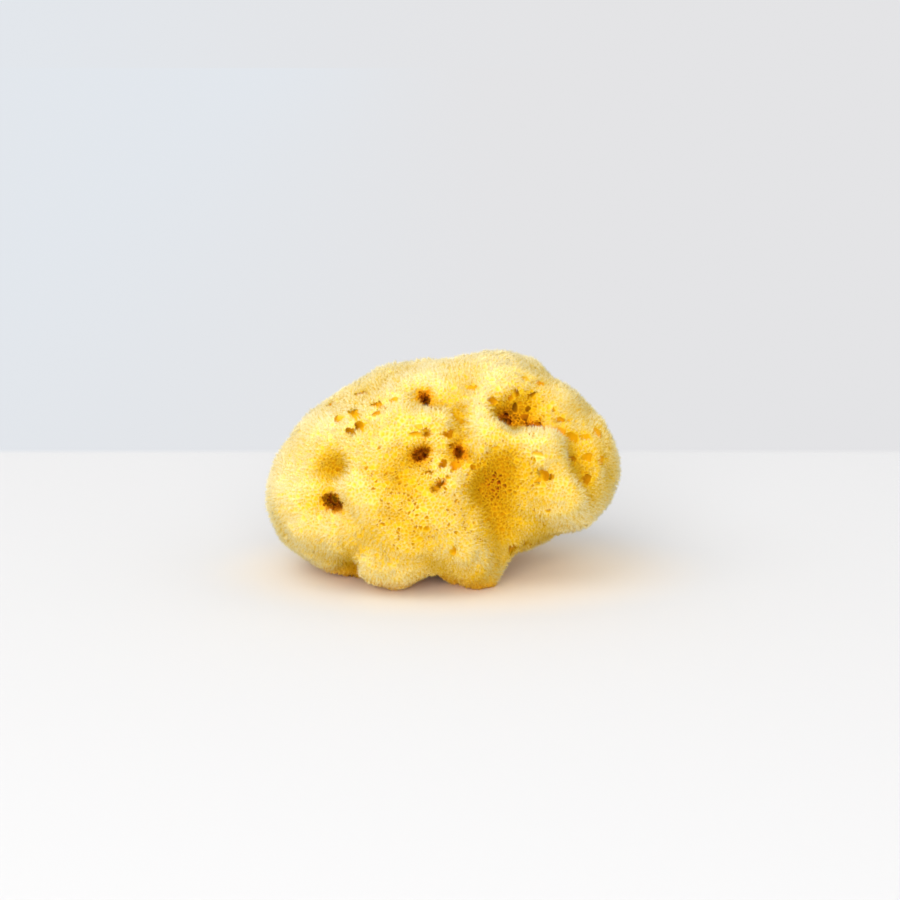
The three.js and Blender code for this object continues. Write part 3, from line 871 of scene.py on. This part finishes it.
# %% [markdown]
# ## The fibre's colour
# The fibre's colour carries painted shade: it says how exposed each place is to the light. A
# node group makes it from the two numbers only, so it needs no picture. Where the sponge is
# open, a ramp goes from ochre low in the pores, painted shade, to pale cream at the ends of the
# fibres. Where it is closed, a second ramp goes from dark brown to orange, the painted shade of
# the outlets.

# %% Fibre colour
# The low end, deep in the pores, is painted shade.
OPEN_COLOURS = [
    (0.0, (0.50, 0.22, 0.001)),
    (0.3, (0.70, 0.41, 0.004)),
    (0.5, (0.77, 0.51, 0.035)),
    (0.65, (0.83, 0.64, 0.16)),
    (0.85, (0.89, 0.78, 0.42)),
    (1.0, (0.95, 0.88, 0.68)),
]
# Painted shade: the colours of closed places, dark brown deep in an outlet, orange nearer its mouth.
CLOSED_COLOURS = [
    (0.0, (0.06, 0.018, 0.001)),
    (0.12, (0.42, 0.09, 0.001)),
    (0.3, (0.86, 0.26, 0.003)),
    (0.6, (0.92, 0.38, 0.004)),
    (1.0, (0.85, 0.5, 0.02)),
]
CLOSED_AT, OPEN_AT = 0.25, 0.88


def link(tree, a, b):
    tree.links.new(a, b)


def set_ramp(node, stops):
    ramp = node.color_ramp
    while len(ramp.elements) > 1:
        ramp.elements.remove(ramp.elements[-1])
    for i, (place, colour) in enumerate(stops):
        stop = ramp.elements[0] if i == 0 else ramp.elements.new(place)
        stop.position = place
        stop.color = (*colour, 1)


fibre_colour_and_shade = bpy.data.node_groups.new("fibre colour and painted shade", "ShaderNodeTree")
fibre_colour_and_shade.interface.new_socket("Rise", in_out="INPUT", socket_type="NodeSocketFloat")
fibre_colour_and_shade.interface.new_socket("Open", in_out="INPUT", socket_type="NodeSocketFloat")
fibre_colour_and_shade.interface.new_socket("Colour", in_out="OUTPUT", socket_type="NodeSocketColor")
inside = fibre_colour_and_shade.nodes.new("NodeGroupInput")
outside = fibre_colour_and_shade.nodes.new("NodeGroupOutput")
open_ramp = fibre_colour_and_shade.nodes.new("ShaderNodeValToRGB")
closed_ramp = fibre_colour_and_shade.nodes.new("ShaderNodeValToRGB")
set_ramp(open_ramp, OPEN_COLOURS)
set_ramp(closed_ramp, CLOSED_COLOURS)
how_open = fibre_colour_and_shade.nodes.new("ShaderNodeMapRange")
how_open.inputs["From Min"].default_value = CLOSED_AT
how_open.inputs["From Max"].default_value = OPEN_AT
both = fibre_colour_and_shade.nodes.new("ShaderNodeMix")
both.data_type = "RGBA"
link(fibre_colour_and_shade, inside.outputs["Rise"], open_ramp.inputs["Fac"])
link(fibre_colour_and_shade, inside.outputs["Rise"], closed_ramp.inputs["Fac"])
link(fibre_colour_and_shade, inside.outputs["Open"], how_open.inputs["Value"])
link(fibre_colour_and_shade, how_open.outputs["Result"], both.inputs["Factor"])
link(fibre_colour_and_shade, closed_ramp.outputs["Color"], both.inputs["A"])
link(fibre_colour_and_shade, open_ramp.outputs["Color"], both.inputs["B"])
link(fibre_colour_and_shade, both.outputs["Result"], outside.inputs["Colour"])
print("group", fibre_colour_and_shade.name, "with", len(fibre_colour_and_shade.nodes), "nodes")

# %% [markdown]
# Sponge fibre is dry and matt. The material is rough with hardly any shine, and reads the
# two numbers from the mesh.

# %% Material
ROUGHNESS = 0.9
SPECULAR = 0.05

fibre = bpy.data.materials.new("fibre")
fibre.use_nodes = True
tree = fibre.node_tree
shader = next(node for node in tree.nodes if node.type == "BSDF_PRINCIPLED")
shader.inputs["Roughness"].default_value = ROUGHNESS
shader.inputs["Specular IOR Level"].default_value = SPECULAR
colour = tree.nodes.new("ShaderNodeGroup")
colour.node_tree = fibre_colour_and_shade
for key, socket in (("rise", "Rise"), ("open", "Open")):
    number = tree.nodes.new("ShaderNodeAttribute")
    number.attribute_name = key
    link(tree, number.outputs["Fac"], colour.inputs[socket])
link(tree, colour.outputs["Colour"], shader.inputs["Base Color"])
for piece in pieces:
    piece.data.materials.append(fibre)
print("material", fibre.name, "on", len(pieces), "pieces")

# %% [markdown]
# ## Table and wall
# The sponge stands on a white table in front of a pale wall. The wall glows by itself, so
# that its even tone doesn't depend on the lights. These helpers make a large plane, its
# material, and colours that change along it.

# %% Stage helpers
STAGE_SIZE = 12.0


def stage_plane(name, location, turn, material):
    half = STAGE_SIZE / 2
    mesh = bpy.data.meshes.new(name)
    corners_at = [(-half, -half, 0), (half, -half, 0), (half, half, 0), (-half, half, 0)]
    mesh.from_pydata(corners_at, [], [(0, 1, 2, 3)])
    mesh.materials.append(material)
    plane = bpy.data.objects.new(name, mesh)
    plane.location = location
    plane.rotation_euler = turn
    scene.collection.objects.link(plane)
    print(name, "at", location)


def stage_material(name, tone, glow):
    """A matt material and its shader, with a light of its own."""
    found = bpy.data.materials.new(name)
    found.use_nodes = True
    plain = next(node for node in found.node_tree.nodes if node.type == "BSDF_PRINCIPLED")
    plain.inputs["Base Color"].default_value = (*tone, 1)
    plain.inputs["Specular IOR Level"].default_value = 0
    plain.inputs["Emission Color"].default_value = (*glow, 1)
    plain.inputs["Emission Strength"].default_value = 1
    return found, plain


def ramp_along(tree, value, low, high):
    """A smooth step from 0 to 1 as the value goes from low to high."""
    step = tree.nodes.new("ShaderNodeMapRange")
    step.interpolation_type = "SMOOTHSTEP"
    step.inputs["From Min"].default_value = low
    step.inputs["From Max"].default_value = high
    link(tree, value, step.inputs["Value"])
    return step.outputs["Result"]


def mixed(tree, factor, before, after):
    """A colour that goes from one to the other: each is a colour or a socket."""
    tones = tree.nodes.new("ShaderNodeMix")
    tones.data_type = "RGBA"
    link(tree, factor, tones.inputs["Factor"])
    for socket, tone in (("A", before), ("B", after)):
        if isinstance(tone, tuple):
            tones.inputs[socket].default_value = (*tone, 1)
        else:
            link(tree, tone, tones.inputs[socket])
    return tones.outputs["Result"]


def place_along(tree):
    """The place on a plane, whole and split into its three numbers."""
    where = tree.nodes.new("ShaderNodeNewGeometry")
    split = tree.nodes.new("ShaderNodeSeparateXYZ")
    link(tree, where.outputs["Position"], split.inputs["Vector"])
    return where.outputs["Position"], split


# %% [markdown]
# The table is one large plane. A little way behind the sponge its tone changes from the
# table's white to the wall's pale grey, at the table's far edge, and a backdrop far behind
# carries the wall's tone up. Light that comes through the sponge and off it warms the table
# close by, and a round warm tint stands in for that. The wall is bluer towards the left.

# %% Table and wall
BLACK = (0, 0, 0)
TABLE_TONE = (0.645, 0.65, 0.665)
WARM_TONE = (0.86, 0.765, 0.64)
WARM_AT = (0.005, 0.0)
WARM_REACH = (0.11, 0.07)
WARM_CORE = 0.3
WALL_LIGHT = (0.775, 0.775, 0.79)
WALL_LEFT = (0.765, 0.80, 0.845)
TABLE_EDGE = 0.194
HALF_EDGE = 0.006
BACKDROP_AT = 3.0
TABLE_TURNS_BLUE = (-0.35, 0.1)
BACKDROP_TURNS_BLUE = (-1.1, 0.3)

table_material, table_shader = stage_material("table", TABLE_TONE, BLACK)
tree = table_material.node_tree
where, split = place_along(tree)
beyond = ramp_along(tree, split.outputs["Y"], TABLE_EDGE - HALF_EDGE, TABLE_EDGE + HALF_EDGE)
from_middle = tree.nodes.new("ShaderNodeVectorMath")
from_middle.operation = "MULTIPLY_ADD"
from_middle.inputs[1].default_value = (1 / WARM_REACH[0], 1 / WARM_REACH[1], 0)
from_middle.inputs[2].default_value = (-WARM_AT[0] / WARM_REACH[0], -WARM_AT[1] / WARM_REACH[1], 0)
how_far = tree.nodes.new("ShaderNodeVectorMath")
how_far.operation = "LENGTH"
link(tree, where, from_middle.inputs[0])
link(tree, from_middle.outputs["Vector"], how_far.inputs[0])
away = ramp_along(tree, how_far.outputs["Value"], WARM_CORE, 1)
near_tone = mixed(tree, away, WARM_TONE, TABLE_TONE)
link(tree, mixed(tree, beyond, near_tone, BLACK), table_shader.inputs["Base Color"])
left_to_right = ramp_along(tree, split.outputs["X"], *TABLE_TURNS_BLUE)
wall_light = mixed(tree, left_to_right, WALL_LEFT, WALL_LIGHT)
link(tree, mixed(tree, beyond, BLACK, wall_light), table_shader.inputs["Emission Color"])
stage_plane("table", (0, 0, 0), (0, 0, 0), table_material)

wall_material, wall_shader = stage_material("wall", BLACK, WALL_LIGHT)
tree = wall_material.node_tree
split = place_along(tree)[1]
left_to_right = ramp_along(tree, split.outputs["X"], *BACKDROP_TURNS_BLUE)
link(tree, mixed(tree, left_to_right, WALL_LEFT, WALL_LIGHT), wall_shader.inputs["Emission Color"])
stage_plane("backdrop", (0, BACKDROP_AT, 0), (math.pi / 2, 0, 0), wall_material)

# %% [markdown]
# ## Light
# The light is soft and comes from all round: a bright sky, a broad window high on the left,
# and a fill from the front, so that the shadows are pale and the pores aren't black. Light
# that bounces many times between the fibres is what makes a sponge glow, so more bounces
# than usual are counted.

# %% Light
SKY = (1.0, 0.99, 0.97)
SKY_STRENGTH = 0.98
WINDOW_SIZE = 2.8
WINDOW_FROM = Vector((-1.7, -1.2, 2.9))
WINDOW_POWER = 46
FILL_SIZE = 2.0
FILL_FROM = Vector((-0.2, -2.2, 0.5))
FILL_POWER = 60
WARM_WHITE = (1.0, 0.975, 0.94)
DIFFUSE_BOUNCES = 8
MOST_BOUNCES = 10

sky = bpy.data.worlds.new("sky")
sky.use_nodes = True
ground = next(node for node in sky.node_tree.nodes if node.type == "BACKGROUND")
ground.inputs["Color"].default_value = (*SKY, 1)
ground.inputs["Strength"].default_value = SKY_STRENGTH
scene.world = sky


def soft_light(name, size, place, power):
    light = bpy.data.lights.new(name, "AREA")
    light.size = size
    light.energy = power
    light.color = WARM_WHITE
    lamp = bpy.data.objects.new(name, light)
    lamp.location = place
    lamp.rotation_euler = (HEART - place).to_track_quat("-Z", "Y").to_euler()
    scene.collection.objects.link(lamp)
    print(name, power, "W at", [round(v, 1) for v in place], "m")


soft_light("window", WINDOW_SIZE, WINDOW_FROM, WINDOW_POWER)
soft_light("fill", FILL_SIZE, FILL_FROM, FILL_POWER)
scene.view_settings.view_transform = "Standard"
scene.view_settings.look = "None"
scene.cycles.diffuse_bounces = DIFFUSE_BOUNCES
scene.cycles.max_bounces = MOST_BOUNCES
